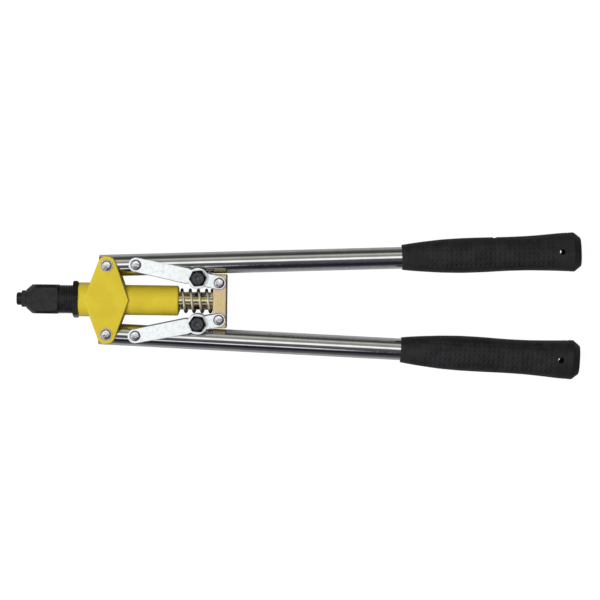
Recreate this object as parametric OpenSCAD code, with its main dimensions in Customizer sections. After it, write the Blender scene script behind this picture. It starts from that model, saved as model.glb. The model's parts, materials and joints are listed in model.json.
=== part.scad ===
// Double handle riveter: a two-handed tool that sets blind rivets.
// It lies flat on Z = 0 with its nose towards -X, and its two handles reach back to +X on each side of the centreline.
// Names ending in _at are distances from the nose tip along the tool, and everything right of the centreline is +Y.

/* [Overall] */
// Length from the nose tip to the ends of the grips
tool_length = 428; // [424:1:440]
// Height of the centreline above the surface that the tool lies on
axis_height = 15; // [15:0.5:18]

/* [Nose] */
// Diameter of the nosepiece's round tip
tip_d = 9.7; // [8:0.1:10]
// Nosepiece bore, which takes the mandrel of a 6.4 mm rivet
tip_bore_d = 4.2; // [3:0.1:5]
// Start of the nosepiece's wrench hexagon
tip_hex_at = 3.6; // [3:0.1:5]
// Width across flats of the nosepiece's hexagon
tip_hex_af = 11; // [10:0.1:12]
// Start of the sleeve's cone
cone_at = 7.4; // [7:0.1:9]
// Diameter at the small end of the cone
cone_small_d = 14.2; // [12.8:0.1:15]
// Where the cone meets the sleeve's flats
head_at = 11.7; // [11:0.1:14]
// Width across the sleeve's four wrench flats
head_af = 21.8; // [21:0.1:24]
// Diameter of the bar that the sleeve's head is turned from
head_bar_d = 28; // [26:0.1:28.5]
// End of the sleeve's head and start of its thread
thread_at = 31.8; // [30:0.1:33]
// Outside diameter of the sleeve's thread
thread_d = 21.8; // [20:0.1:22]
// Pitch of the sleeve's thread
thread_pitch = 1.25; // [1:0.05:1.5]
// Front face of the lock nut
nut_at = 43; // [42:0.1:44]
// Width across flats of the lock nut
nut_af = 26.2; // [24:0.1:26.2]
// Lean of the lock nut's top corner to the right, as it was last tightened
nut_turn = 10; // [0:1:60]

/* [Body] */
// Front face of the body's neck
neck_at = 46.9; // [46:0.1:49]
// Diameter of the neck
neck_d = 25.8; // [24:0.1:25.8]
// Diameter of the rear barrel
barrel_d = 22.8; // [22.4:0.1:23]
// Rear end of the barrel
barrel_end_at = 123.1; // [118:0.1:124]
// Front point of the yoke
yoke_front_at = 51.6; // [51:0.1:55]
// Rear point of the yoke
yoke_rear_at = 85.7; // [83:0.1:87]
// Centre of the yoke's rounded ends
yoke_end_at = 68.9; // [68.5:0.1:71]
// Radius of the yoke's rounded ends
yoke_end_r = 7.1; // [6.6:0.1:8]
// Total height of the yoke
yoke_h = 26.2; // [25.6:0.1:26.8]
// Bevel around the yoke's faces
yoke_bevel = 1.1; // [0.5:0.1:1.5]

/* [Handles] */
// Handle pivots
pivot_at = 68.7; // [68:0.1:70]
// Distance of each handle pivot from the centreline
pivot_y = 26; // [25.8:0.1:26.6]
// Angle that each closed handle spreads outwards
handle_tilt = 2.25; // [2.1:0.01:2.4]
// Angle that each handle opens to
handle_open = 50; // [30:1:50]
// Outside diameter of the handle tubes
tube_d = 16.5; // [16.2:0.1:17.2]
// Wall of the handle tubes
tube_wall = 1.6; // [1.2:0.1:2.5]
// Length of tube in front of the pivot
tube_front = 6; // [5:0.1:7]
// Length of tube inside the grip
tube_in_grip = 112; // [90:1:118]
// Diameter of the pins that carry the handles and links
pin_d = 5.5; // [5:0.1:5.6]

/* [Grips] */
// Length of each grip
grip_length = 135.7; // [130:0.1:140]
// Hang hole's distance from the grip's end
hang_hole_from_end = 14.6; // [14:0.1:16]
// Diameter of the hang hole
hang_hole_d = 4.5; // [3.5:0.1:5]

/* [Linkage] */
// Distance from a handle's pivot back to its link pin
crank_length = 21.9; // [21.5:0.1:23]
// Link pins on the crossbar
crossbar_pin_at = 153.7; // [153.4:0.1:153.8]
// Distance of each crossbar pin from the centreline
crossbar_pin_y = 14; // [13.7:0.1:14.3]
// Stop bolts
stop_bolt_at = 137.6; // [137:0.1:139]
// Distance of each stop bolt from the centreline
stop_bolt_y = 17.3; // [16.7:0.1:17.4]
// Width across flats of the stop bolt's head
stop_bolt_af = 11.6; // [10:0.1:12]
// Turn of each stop bolt's hexagon, as it was last tightened
stop_bolt_turn = 5; // [0:1:30]
// Diameter of the stop bolt's shank
stop_bolt_d = 5.6; // [5:0.1:5.8]
// Thickness of the link plates
link_t = 2.5; // [2:0.1:2.5]
// Radius of the boss around the stop bolt
link_boss_r = 7.9; // [7:0.1:8]

/* [Crossbar, pull rod and spring] */
// Front face of the crossbar
crossbar_at = 149.1; // [148.8:0.1:149.3]
// Thickness of the crossbar along the tool
crossbar_t = 10.6; // [10.5:0.1:12]
// Width of the crossbar from side to side
crossbar_w = 40.8; // [38:0.1:40.8]
// Height of the crossbar
crossbar_h = 16.8; // [16:0.1:16.8]
// Diameter of the pull rod
rod_d = 13.4; // [13:0.1:13.4]
// Bore of the pull rod, where spent mandrels leave
rod_bore_d = 6; // [5:0.1:7]
// Outside diameter of the return spring
spring_od = 19; // [18:0.1:19.2]
// Wire of the return spring
spring_wire = 1.9; // [1.6:0.1:2.2]
// Pitch of the return spring
spring_pitch = 6.2; // [5.8:0.1:6.5]
// Depth of the recess in the barrel's end that the return spring stands in
spring_recess = 6.2; // [5:0.1:8]

/* [Hidden] */
$fn = 96;
corner_fn = 32;

// Colours
yellow_paint = [0.84, 0.74, 0.16];
black_steel = [0.16, 0.16, 0.17];
dark_steel = [0.32, 0.32, 0.33];
bright_steel = [0.80, 0.81, 0.82];
chrome_plate = [0.74, 0.75, 0.77];
gold_zinc = [0.83, 0.68, 0.40];
black_rubber = [0.11, 0.11, 0.12];

// Clearances, and how far cutters and joined solids run past a face
pin_clear = 0.05;
fit_clear = 0.05;
side_gap = 0.4;
cut = 1;
overlap = 0.5;
sliver = 0.01;

// Hexagons: how much smaller the chamfered face's radius is, for each unit of chamfer along the axis
hex_chamfer_slope = 1.7;

// Coil springs: each end lies flat for this many degrees
coil_end_turn = 200;

// Nose
tip_chamfer = 0.7;
tip_hex_chamfer = 0.6;
tip_shank_d = 9;
tip_rear_at = 15.5;
sleeve_wall_at = 15.9;
sleeve_bore_d = 16;
sleeve_end_at = 60;
thread_depth = 0.55;
// One ridge of the thread: share of its pitch, then share of its depth
thread_form = [[0.1, 1], [0.45, 0], [0.6, 0], [0.95, 1]];
cone_slope = (head_af - cone_small_d) / 2 / (head_at - cone_at);
head_full_at = head_at + (head_bar_d - head_af) / 2 / cone_slope;
head_chamfer = 1;
nut_t = neck_at - nut_at;
nut_chamfer = 0.7;

// Body
neck_chamfer = 0.8;
barrel_chamfer = 1.2;
yoke_point_r = 2.5;
yoke_end_past_pivot = 0.4;
yoke_end_y = pivot_y + yoke_end_past_pivot;
web_half_w = 13.4;
slot_h = tube_d + 2 * side_gap;
body_bore_d = 16.2;
bush_d = 17.2;
bush_t = 12;
seat_washer_t = 0.8;
recess_gap = 0.25;
recess_at = barrel_end_at - spring_recess;

// Pins: heights are measured from the centreline
pin_r = pin_d / 2;
yoke_top = yoke_h / 2;
washer_t = 0.6;
washer_r = 4.8;
clip_t = 0.75;
yoke_clip_r = 3.8;
link_clip_r = 4;
pin_head_r = 3.5;
pin_head_t = 0.5;
yoke_pin_top = yoke_top + washer_t + clip_t + pin_head_t;
block_past_pin = 8;

// Links
link_inner = tube_d / 2 + side_gap;
link_outer = link_inner + link_t;
link_front_r = 5.5;
link_mid_r = 5.95;
link_mid_before_bolt = 9;
link_neck_r = 5.4;
link_rear_r = 5.1;
link_pad_t = 0.4;
link_pin_top = link_outer + clip_t + pin_head_t;
stop_head_t = 3.9;
stop_head_chamfer = 1.2;
stop_dimple_r = 2.4;
stop_dimple_depth = 0.5;
stop_washer_t = 0.7;
stop_washer_r = 6.6;
stop_nut_t = 2.4;
stop_nut_chamfer = 0.4;
stop_end = 14.9;

// Points of the linkage, seen from above
pivot = [x_at(pivot_at), pivot_y];
link_front = pivot + crank_length * [cos(handle_tilt), sin(handle_tilt)];
link_rear = [x_at(crossbar_pin_at), crossbar_pin_y];
link_length = norm(link_rear - link_front);
link_angle = atan2(link_rear[1] - link_front[1], link_rear[0] - link_front[0]);
stop_bolt = in_link_frame([x_at(stop_bolt_at), stop_bolt_y]);

// Slot for the open pivot in the crossbar, as long as the pin's drift at half opening
slot_drift = pin_drift(handle_open / 2);
slot_clear = 0.2;
rod_step_d = 11;
crossbar_chamfer = 0.9;

// Return spring
spring_first_angle = -35;
spring_sides = 8;
spring_steps = 24;

// Jaws and their case
case_at = 30.9;
case_end_at = 65;
case_d = 15;
case_chamfer = 1.2;
case_bore_d = 12;
case_mouth_d = 6.4;
case_cone_l = 12.5;
rod_front_at = 55;
jaw_gap = 0.9;
jaw_slack = 0.15;
jaw_l = 12;
jaw_front_gap = 0.4;
jaw_bore_d = 3;
pusher_gap = 0.2;
pusher_flange_t = 2.4;
pusher_tail_d = 6.6;
pusher_l = 6.4;
pusher_bore_d = 3.6;
jaw_spring_od = 11;
jaw_spring_wire = 1.1;
jaw_spring_pitch = 2.4;
jaw_spring_sides = 6;
jaw_spring_steps = 20;

// Grip: distance from its front, then how far it reaches outwards, inwards and up from the tube's axis
grip_profile = [
    [0, 9.9, 9.2, 9.7],
    [5, 10.6, 9.9, 10.4],
    [15, 11.8, 10.9, 11.4],
    [30, 13.2, 12.1, 12.4],
    [45, 13.8, 12.7, 13.0],
    [60, 13.9, 12.6, 13.1],
    [80, 13.8, 12.0, 13.1],
    [95, 14.1, 12.0, 13.4],
    [108, 14.8, 12.5, 13.9],
    [120, 15.7, 13.1, 14.5],
    [130.5, 16.0, 13.9, 14.9],
    [135.7, 11.6, 9.8, 10.9]
];
grip_sides = 32;
grip_squareness = 2.35;
grip_start = (tool_length - pivot_at) / cos(handle_tilt) - grip_length
    - grip_profile[len(grip_profile) - 1][2] * tan(handle_tilt);
hang_hole_s = grip_start + grip_length - hang_hole_from_end;
hang_hole_out = 1.4;
tube_end_gap = 0.5;

// Distance from the nose tip turned into the model's X
function x_at(distance) = distance - tool_length / 2;

// The right link's front pin, the link's slope and the crossbar's travel when the handles stand open by an angle
function crank_pin(open) = pivot + crank_length * [cos(handle_tilt + open), sin(handle_tilt + open)];
function link_slope(open) = asin((crossbar_pin_y - crank_pin(open)[1]) / link_length);
function crossbar_moved(open) = link_rear[0] - crank_pin(open)[0] - link_length * cos(link_slope(open));

// How far the link's rear pin drifts in the crossbar, when link and crossbar keep constant ratios to the handle
function pin_drift(open) = let(
        share = open / handle_open,
        slope = link_angle + share * (link_slope(handle_open) - link_angle)
    )
    crank_pin(open) + link_length * [cos(slope), sin(slope)] - link_rear + [share * crossbar_moved(handle_open), 0];

// A point seen from above, turned into the link's own frame
function in_link_frame(p) = let(d = p - link_front)
    [d[0] * cos(link_angle) + d[1] * sin(link_angle), d[1] * cos(link_angle) - d[0] * sin(link_angle)];

// Places children on the centreline, with Z along the tool from the given distance
module on_axis(distance) {
    translate([x_at(distance), 0, axis_height]) rotate([0, 90, 0]) children();
}

// Round bar along the tool from one distance to another
module bar(from_at, to_at, d) {
    on_axis(from_at) cylinder(h = to_at - from_at, d = d);
}

// Hexagonal prism whose corners are chamfered at both ends
module hex_prism(af, h, chamfer) {
    corner_r = af / sqrt(3);
    face_r = corner_r - hex_chamfer_slope * chamfer;
    intersection() {
        cylinder(h = h, r = corner_r, $fn = 6);
        union() {
            cylinder(h = chamfer, r1 = face_r, r2 = corner_r);
            translate([0, 0, chamfer]) cylinder(h = h - 2 * chamfer, r = corner_r + overlap);
            translate([0, 0, h - chamfer]) cylinder(h = chamfer, r1 = corner_r, r2 = face_r);
        }
    }
}

// Coil spring whose wire runs from the first face to the second, with a flat half coil at each end
module coil_spring(length, od, wire, pitch, first_angle, sides, steps_per_turn) {
    mean_r = (od - wire) / 2;
    rise = length - wire;
    sweep = 360 * rise / pitch;
    total = sweep + 2 * coil_end_turn;
    steps = ceil(total / 360 * steps_per_turn);
    rings = [
        for (i = [0:steps])
            let(a = total * i / steps,
                along = wire / 2 + rise * min(1, max(0, (a - coil_end_turn) / sweep)),
                turn = first_angle + a - coil_end_turn)
            for (k = [0:sides - 1])
                let(b = 360 * k / sides, r = mean_r + wire / 2 * cos(b))
                [along + wire / 2 * sin(b), r * cos(turn), r * sin(turn)]
    ];
    faces = concat(
        [[for (k = [0:sides - 1]) k]],
        [for (i = [0:steps - 1]) for (k = [0:sides - 1])
            let(a = i * sides + k, b = i * sides + (k + 1) % sides)
            [a, a + sides, b + sides, b]],
        [[for (k = [sides - 1:-1:0]) steps * sides + k]]
    );
    polyhedron(points = rings, faces = faces, convexity = 10);
}

// Pin along Z, with a domed head wider than its shank at each end
module domed_pin(top) {
    dome_r = (pin_head_r * pin_head_r + pin_head_t * pin_head_t) / (2 * pin_head_t);
    shoulder = top - pin_head_t;
    cylinder(h = 2 * shoulder + 2 * sliver, r = pin_r, center = true);
    for (flip = [0, 1]) mirror([0, 0, flip]) intersection() {
        translate([0, 0, shoulder]) cylinder(h = pin_head_t + cut, r = pin_head_r);
        translate([0, 0, top - dome_r]) sphere(r = dome_r);
    }
}

module ring(inner_r, outer_r, h) {
    difference() {
        cylinder(h = h, r = outer_r);
        translate([0, 0, -cut]) cylinder(h = h + 2 * cut, r = inner_r);
    }
}

// The same ring above and below the centreline, its inner face at the given height
module ring_pair(inner_r, outer_r, h, height) {
    for (flip = [0, 1]) mirror([0, 0, flip]) translate([0, 0, height]) ring(inner_r, outer_r, h);
}

module at_pivot() {
    translate([pivot[0], pivot[1], axis_height]) children();
}

// The right handle's frame: X along its tube from the pivot, +Y outwards
module in_handle() {
    at_pivot() rotate([0, 0, handle_tilt]) children();
}

// The right link's frame: X from its front pin to its rear pin
module in_link() {
    translate([link_front[0], link_front[1], axis_height]) rotate([0, 0, link_angle]) children();
}

module left() {
    mirror([0, 1, 0]) children();
}

// Body

module yoke_blank() {
    hull() for (c = [
        [yoke_front_at + yoke_point_r, 0, yoke_point_r],
        [yoke_rear_at - yoke_point_r, 0, yoke_point_r],
        [yoke_end_at, yoke_end_y, yoke_end_r],
        [yoke_end_at, -yoke_end_y, yoke_end_r]
    ]) translate([x_at(c[0]), c[1], axis_height]) {
        cylinder(h = yoke_h - 2 * yoke_bevel, r = c[2], center = true, $fn = corner_fn);
        cylinder(h = yoke_h, r = c[2] - yoke_bevel, center = true, $fn = corner_fn);
    }
}

module body_casting() {
    color(yellow_paint) difference() {
        union() {
            on_axis(neck_at) cylinder(h = neck_chamfer, d1 = neck_d - 2 * neck_chamfer, d2 = neck_d);
            bar(neck_at + neck_chamfer, yoke_end_at, neck_d);
            bar(yoke_end_at - cut, barrel_end_at - barrel_chamfer, barrel_d);
            on_axis(barrel_end_at - barrel_chamfer)
                cylinder(h = barrel_chamfer, d1 = barrel_d, d2 = barrel_d - 2 * barrel_chamfer);
            yoke_blank();
        }
        for (side = [0, 1]) mirror([0, side, 0]) {
            translate([x_at(yoke_front_at) - cut, web_half_w, axis_height - slot_h / 2])
                cube([yoke_rear_at - yoke_front_at + 2 * cut, pivot_y, slot_h]);
            at_pivot() cylinder(h = yoke_h + 2 * cut, r = pin_r + pin_clear, center = true);
        }
        bar(neck_at - cut, sleeve_end_at + cut, thread_d + 2 * fit_clear);
        bar(sleeve_end_at, barrel_end_at, body_bore_d);
        bar(recess_at - bush_t, recess_at + overlap, bush_d + 2 * fit_clear);
        bar(recess_at, barrel_end_at + cut, spring_od + 2 * recess_gap);
    }
}

module nose_sleeve() {
    ridges = floor((sleeve_end_at - thread_at) / thread_pitch);
    color(black_steel) difference() {
        union() {
            intersection() {
                on_axis(0) rotate_extrude() polygon([
                    [0, cone_at],
                    [cone_small_d / 2, cone_at],
                    [head_bar_d / 2, head_full_at],
                    [head_bar_d / 2, thread_at - head_chamfer],
                    [head_bar_d / 2 - head_chamfer, thread_at],
                    [0, thread_at]
                ]);
                translate([x_at(cone_at) - cut, -head_af / 2, axis_height - head_af / 2])
                    cube([thread_at - cone_at + cut, head_af, head_af]);
            }
            on_axis(thread_at) rotate_extrude() polygon(concat(
                [[sleeve_bore_d / 2 - cut, ridges * thread_pitch], [sleeve_bore_d / 2 - cut, -cut]],
                [[thread_d / 2 - thread_depth, -cut]],
                [for (i = [0:ridges - 1]) for (p = thread_form)
                    [thread_d / 2 - p[1] * thread_depth, (i + p[0]) * thread_pitch]],
                [[thread_d / 2 - thread_depth, ridges * thread_pitch]]
            ));
        }
        bar(cone_at - cut, sleeve_wall_at + cut, tip_shank_d + 2 * fit_clear);
        bar(sleeve_wall_at, sleeve_end_at + cut, sleeve_bore_d);
    }
}

module sleeve_lock_nut() {
    color(black_steel) difference() {
        on_axis(nut_at) rotate([0, 0, -nut_turn]) hex_prism(nut_af, nut_t, nut_chamfer);
        bar(nut_at - cut, neck_at + cut, thread_d + 2 * fit_clear);
    }
}

module nosepiece() {
    color(black_steel) difference() {
        union() {
            on_axis(0) cylinder(h = tip_chamfer, d1 = tip_d - 2 * tip_chamfer, d2 = tip_d);
            bar(tip_chamfer, tip_hex_at + overlap, tip_d);
            on_axis(tip_hex_at) rotate([0, 0, 30]) hex_prism(tip_hex_af, cone_at - tip_hex_at, tip_hex_chamfer);
            bar(cone_at - overlap, tip_rear_at, tip_shank_d);
        }
        bar(-cut, tip_rear_at + cut, tip_bore_d);
    }
}

module rod_guide_bush() {
    color(dark_steel) on_axis(recess_at - bush_t)
        ring(rod_d / 2 + fit_clear, bush_d / 2, bush_t);
}

module spring_seat_washer() {
    color(dark_steel) on_axis(recess_at) ring(rod_d / 2 + side_gap, spring_od / 2, seat_washer_t);
}

module yoke_pins() {
    color(bright_steel) for (side = [0, 1]) mirror([0, side, 0]) at_pivot() domed_pin(yoke_pin_top);
}

module yoke_pin_washers() {
    color(bright_steel) for (side = [0, 1]) mirror([0, side, 0]) at_pivot()
        ring_pair(pin_r + pin_clear, washer_r, washer_t, yoke_top);
}

module yoke_pin_clips() {
    color(dark_steel) for (side = [0, 1]) mirror([0, side, 0]) at_pivot()
        ring_pair(pin_r + pin_clear, yoke_clip_r, clip_t, yoke_top + washer_t);
}

// Pull bar

module pull_rod() {
    color(gold_zinc) difference() {
        union() {
            bar(rod_front_at, case_end_at + cut, case_bore_d - 2 * fit_clear);
            bar(case_end_at, crossbar_at, rod_d);
            bar(crossbar_at - cut, crossbar_at + crossbar_t, rod_step_d);
        }
        bar(rod_front_at - cut, crossbar_at + crossbar_t + cut, rod_bore_d);
    }
}

module crossbar() {
    color(gold_zinc) difference() {
        translate([x_at(crossbar_at), 0, axis_height]) rotate([0, 90, 0])
            bevelled_block(crossbar_h, crossbar_w, crossbar_t, crossbar_chamfer);
        bar(crossbar_at - cut, crossbar_at + crossbar_t + cut, rod_step_d + 2 * fit_clear);
        for (side = [0, 1]) mirror([0, side, 0]) translate([link_rear[0], link_rear[1], axis_height])
            linear_extrude(height = crossbar_h + 2 * cut, center = true) pivot_slot(pin_r + slot_clear);
    }
}

// Outline of the slot that the open pivot's pin drifts along
module pivot_slot(r) {
    drift_angle = atan2(slot_drift[1], slot_drift[0]);
    polygon([
        for (end = [0, 1]) for (a = [-90:10:90])
            let(turn = drift_angle + a + 180 * (1 - end))
            end * slot_drift + r * [cos(turn), sin(turn)]
    ]);
}

// Block standing on Z = 0 with its four upright edges bevelled
module bevelled_block(w, d, h, bevel) {
    linear_extrude(height = h) polygon([
        for (c = [[1, 1], [-1, 1], [-1, -1], [1, -1]]) for (first = [0, 1])
            let(cut_x = (c[0] * c[1] > 0) == (first == 1))
            [c[0] * (w / 2 - (cut_x ? bevel : 0)), c[1] * (d / 2 - (cut_x ? 0 : bevel))]
    ]);
}

module jaw_case() {
    color(dark_steel) difference() {
        union() {
            on_axis(case_at) cylinder(h = case_chamfer, d1 = case_d - 2 * case_chamfer, d2 = case_d);
            bar(case_at + case_chamfer, case_end_at, case_d);
        }
        on_axis(case_at - sliver) cylinder(h = case_cone_l + 2 * sliver, d1 = case_mouth_d, d2 = case_bore_d);
        bar(case_at + case_cone_l, case_end_at + cut, case_bore_d);
    }
}

module return_spring() {
    start_at = recess_at + seat_washer_t;
    spring_length = crossbar_at - start_at;
    color(dark_steel) translate([x_at(start_at), 0, axis_height])
        coil_spring(spring_length, spring_od, spring_wire, spring_pitch, spring_first_angle, spring_sides, spring_steps);
}

// Jaws: three segments of one cone, held forward by the pusher and its spring

module jaws() {
    slope = (case_bore_d - case_mouth_d) / 2 / case_cone_l;
    front_r = case_mouth_d / 2 + slope * jaw_front_gap - jaw_slack;
    jaw_at = case_at + jaw_front_gap;
    color(bright_steel) difference() {
        on_axis(jaw_at) cylinder(h = jaw_l, r1 = front_r, r2 = front_r + slope * jaw_l);
        bar(jaw_at - cut, jaw_at + jaw_l + cut, jaw_bore_d);
        on_axis(jaw_at) for (i = [0:2]) rotate([0, 0, 120 * i])
            translate([0, -jaw_gap / 2, -cut]) cube([case_d, jaw_gap, jaw_l + 2 * cut]);
    }
}

module jaw_pusher() {
    pusher_at = case_at + jaw_front_gap + jaw_l + jaw_slack;
    color(dark_steel) difference() {
        union() {
            bar(pusher_at, pusher_at + pusher_flange_t, case_bore_d - 2 * pusher_gap);
            bar(pusher_at, pusher_at + pusher_l, pusher_tail_d);
        }
        bar(pusher_at - cut, pusher_at + pusher_l + cut, pusher_bore_d);
    }
}

module jaw_spring() {
    spring_at = case_at + jaw_front_gap + jaw_l + jaw_slack + pusher_flange_t;
    spring_length = rod_front_at - spring_at;
    color(dark_steel) translate([x_at(spring_at), 0, axis_height])
        coil_spring(spring_length, jaw_spring_od, jaw_spring_wire, jaw_spring_pitch, 0, jaw_spring_sides, jaw_spring_steps);
}

// Handles

module handle_tube() {
    tube_end = grip_start + tube_in_grip;
    color(chrome_plate) in_handle() difference() {
        translate([-tube_front, 0, 0]) rotate([0, 90, 0]) cylinder(h = tube_front + tube_end, d = tube_d);
        translate([-tube_front - cut, 0, 0]) rotate([0, 90, 0])
            cylinder(h = tube_front + tube_end + 2 * cut, d = tube_d - 2 * tube_wall);
        for (s = [0, crank_length]) translate([s, 0, 0])
            cylinder(h = tube_d + 2 * cut, r = pin_r + side_gap, center = true);
    }
}

module handle_pivot_block() {
    front = -tube_front + side_gap;
    color(dark_steel) in_handle() difference() {
        translate([front, 0, 0]) rotate([0, 90, 0])
            cylinder(h = crank_length + block_past_pin - front, d = tube_d - 2 * tube_wall - 2 * fit_clear);
        for (s = [0, crank_length]) translate([s, 0, 0])
            cylinder(h = tube_d + 2 * cut, r = pin_r + pin_clear, center = true);
    }
}

// Closed shell through the grip's profile: each ring is a rounded square, wider on its outer side
module grip_blank() {
    last = len(grip_profile) - 1;
    rings = [
        for (p = grip_profile) for (k = [0:grip_sides - 1])
            let(a = 360 * k / grip_sides, c = cos(a), s = sin(a), e = 2 / grip_squareness)
            [p[0], sign(c) * pow(abs(c), e) * (c > 0 ? p[1] : p[2]), sign(s) * pow(abs(s), e) * p[3]]
    ];
    faces = concat(
        [[for (k = [0:grip_sides - 1]) k]],
        [for (i = [0:last - 1]) for (k = [0:grip_sides - 1])
            let(a = i * grip_sides + k, b = i * grip_sides + (k + 1) % grip_sides)
            [a, a + grip_sides, b + grip_sides, b]],
        [[for (k = [grip_sides - 1:-1:0]) last * grip_sides + k]]
    );
    polyhedron(points = rings, faces = faces, convexity = 4);
}

module grip() {
    color(black_rubber) in_handle() difference() {
        translate([grip_start, 0, 0]) grip_blank();
        translate([grip_start - cut, 0, 0]) rotate([0, 90, 0])
            cylinder(h = cut + tube_in_grip + tube_end_gap, d = tube_d + 2 * fit_clear);
        translate([hang_hole_s, hang_hole_out, 0])
            cylinder(h = 2 * axis_height + 2 * cut, d = hang_hole_d, center = true);
    }
}

// Links

// One link plate, its inner face at Z = 0, with a raised pad around the stop bolt when it is the top one
module link_plate(with_pad) {
    mid = stop_bolt[0] - link_mid_before_bolt;
    difference() {
        union() {
            hull() {
                cylinder(h = link_t, r = link_front_r, $fn = corner_fn);
                translate([mid, 0, 0]) cylinder(h = link_t, r = link_mid_r, $fn = corner_fn);
            }
            hull() {
                translate([mid, 0, 0]) cylinder(h = link_t, r = link_neck_r, $fn = corner_fn);
                translate([link_length, 0, 0]) cylinder(h = link_t, r = link_rear_r, $fn = corner_fn);
            }
            translate([stop_bolt[0], stop_bolt[1], 0])
                cylinder(h = link_t + (with_pad ? link_pad_t : 0), r = link_boss_r);
        }
        for (s = [0, link_length]) translate([s, 0, -cut]) cylinder(h = link_t + 2 * cut, r = pin_r + pin_clear);
        translate([stop_bolt[0], stop_bolt[1], -cut])
            cylinder(h = link_t + 2 * cut, r = stop_bolt_d / 2 + pin_clear);
    }
}

module link_top() {
    color(bright_steel) in_link() translate([0, 0, link_inner]) link_plate(true);
}

module link_bottom() {
    color(bright_steel) in_link() mirror([0, 0, 1]) translate([0, 0, link_inner]) link_plate(false);
}

module link_front_pin() {
    color(bright_steel) in_link() domed_pin(link_pin_top);
}

module link_rear_pin() {
    color(bright_steel) in_link() translate([link_length, 0, 0]) domed_pin(link_pin_top);
}

module link_pin_clips() {
    color(dark_steel) in_link() for (s = [0, link_length]) translate([s, 0, 0])
        ring_pair(pin_r + pin_clear, link_clip_r, clip_t, link_outer);
}

module at_stop_bolt() {
    in_link() translate([stop_bolt[0], stop_bolt[1], 0]) rotate([0, 0, stop_bolt_turn - link_angle]) children();
}

module stop_bolt_part() {
    head_z = link_outer + link_pad_t;
    dimple_ball_r = (pow(stop_dimple_r, 2) + pow(stop_dimple_depth, 2)) / (2 * stop_dimple_depth);
    color(black_steel) at_stop_bolt() difference() {
        union() {
            translate([0, 0, head_z]) hex_prism(stop_bolt_af, stop_head_t, stop_head_chamfer);
            translate([0, 0, -stop_end]) cylinder(h = stop_end + head_z + cut, d = stop_bolt_d);
        }
        translate([0, 0, head_z + stop_head_t - stop_dimple_depth + dimple_ball_r]) sphere(r = dimple_ball_r);
    }
}

module stop_washer() {
    color(bright_steel) at_stop_bolt() translate([0, 0, -link_outer - stop_washer_t])
        ring(stop_bolt_d / 2 + pin_clear, stop_washer_r, stop_washer_t);
}

module stop_nut() {
    color(black_steel) at_stop_bolt() difference() {
        translate([0, 0, -link_outer - stop_washer_t - stop_nut_t])
            hex_prism(stop_bolt_af, stop_nut_t, stop_nut_chamfer);
        translate([0, 0, -stop_end - cut]) cylinder(h = stop_end, d = stop_bolt_d + 2 * pin_clear);
    }
}

body_casting();
nose_sleeve();
sleeve_lock_nut();
nosepiece();
rod_guide_bush();
spring_seat_washer();
yoke_pins();
yoke_pin_washers();
yoke_pin_clips();
pull_rod();
crossbar();
jaw_case();
return_spring();
jaws();
jaw_pusher();
jaw_spring();
handle_tube();  // handle_tube_right
handle_pivot_block();  // handle_pivot_block_right
grip();  // grip_right
left() handle_tube();  // handle_tube_left
left() handle_pivot_block();  // handle_pivot_block_left
left() grip();  // grip_left
link_top();  // link_top_right
link_bottom();  // link_bottom_right
link_front_pin();  // link_front_pin_right
link_rear_pin();  // link_rear_pin_right
link_pin_clips();  // link_pin_clips_right
stop_bolt_part();  // stop_bolt_right
stop_washer();  // stop_washer_right
stop_nut();  // stop_nut_right
left() link_top();  // link_top_left
left() link_bottom();  // link_bottom_left
left() link_front_pin();  // link_front_pin_left
left() link_rear_pin();  // link_rear_pin_left
left() link_pin_clips();  // link_pin_clips_left
left() stop_bolt_part();  // stop_bolt_left
left() stop_washer();  // stop_washer_left
left() stop_nut();  // stop_nut_left
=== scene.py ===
import json
import math
import bmesh
import bpy
from mathutils import Matrix, Vector


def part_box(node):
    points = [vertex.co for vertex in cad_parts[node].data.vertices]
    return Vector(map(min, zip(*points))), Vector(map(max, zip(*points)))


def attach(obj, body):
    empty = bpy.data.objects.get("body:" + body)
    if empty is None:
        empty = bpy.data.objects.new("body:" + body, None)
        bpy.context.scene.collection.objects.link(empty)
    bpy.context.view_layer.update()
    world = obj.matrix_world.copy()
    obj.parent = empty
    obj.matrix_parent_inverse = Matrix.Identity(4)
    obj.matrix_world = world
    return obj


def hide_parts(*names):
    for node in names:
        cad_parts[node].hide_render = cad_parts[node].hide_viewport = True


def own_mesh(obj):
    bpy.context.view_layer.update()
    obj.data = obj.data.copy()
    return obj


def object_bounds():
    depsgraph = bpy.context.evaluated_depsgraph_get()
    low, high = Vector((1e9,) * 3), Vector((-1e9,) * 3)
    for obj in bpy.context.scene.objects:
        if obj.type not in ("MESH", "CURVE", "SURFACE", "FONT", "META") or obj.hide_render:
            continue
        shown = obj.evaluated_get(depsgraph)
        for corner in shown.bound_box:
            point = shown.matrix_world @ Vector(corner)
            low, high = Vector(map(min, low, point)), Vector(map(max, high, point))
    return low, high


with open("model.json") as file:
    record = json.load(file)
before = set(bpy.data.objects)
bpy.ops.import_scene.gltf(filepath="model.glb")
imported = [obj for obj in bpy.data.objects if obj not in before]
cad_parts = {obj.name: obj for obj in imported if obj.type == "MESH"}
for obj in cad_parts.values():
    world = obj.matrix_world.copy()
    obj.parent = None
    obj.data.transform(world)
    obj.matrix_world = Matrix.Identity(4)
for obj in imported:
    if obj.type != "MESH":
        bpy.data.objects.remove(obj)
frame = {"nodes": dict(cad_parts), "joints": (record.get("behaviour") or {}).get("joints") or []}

# Double handle riveter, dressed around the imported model.
# It lies flat with its nose towards -X; lengths in the dictionaries are in mm, and angles in degrees.

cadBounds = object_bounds()
mm = 0.001
past = 1    # how far a cutting shape reaches past what it cuts, in mm
joints = {joint["name"]: joint for joint in frame["joints"]}


def middleOf(node):
    low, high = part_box(node)
    return (low + high) / 2


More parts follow.
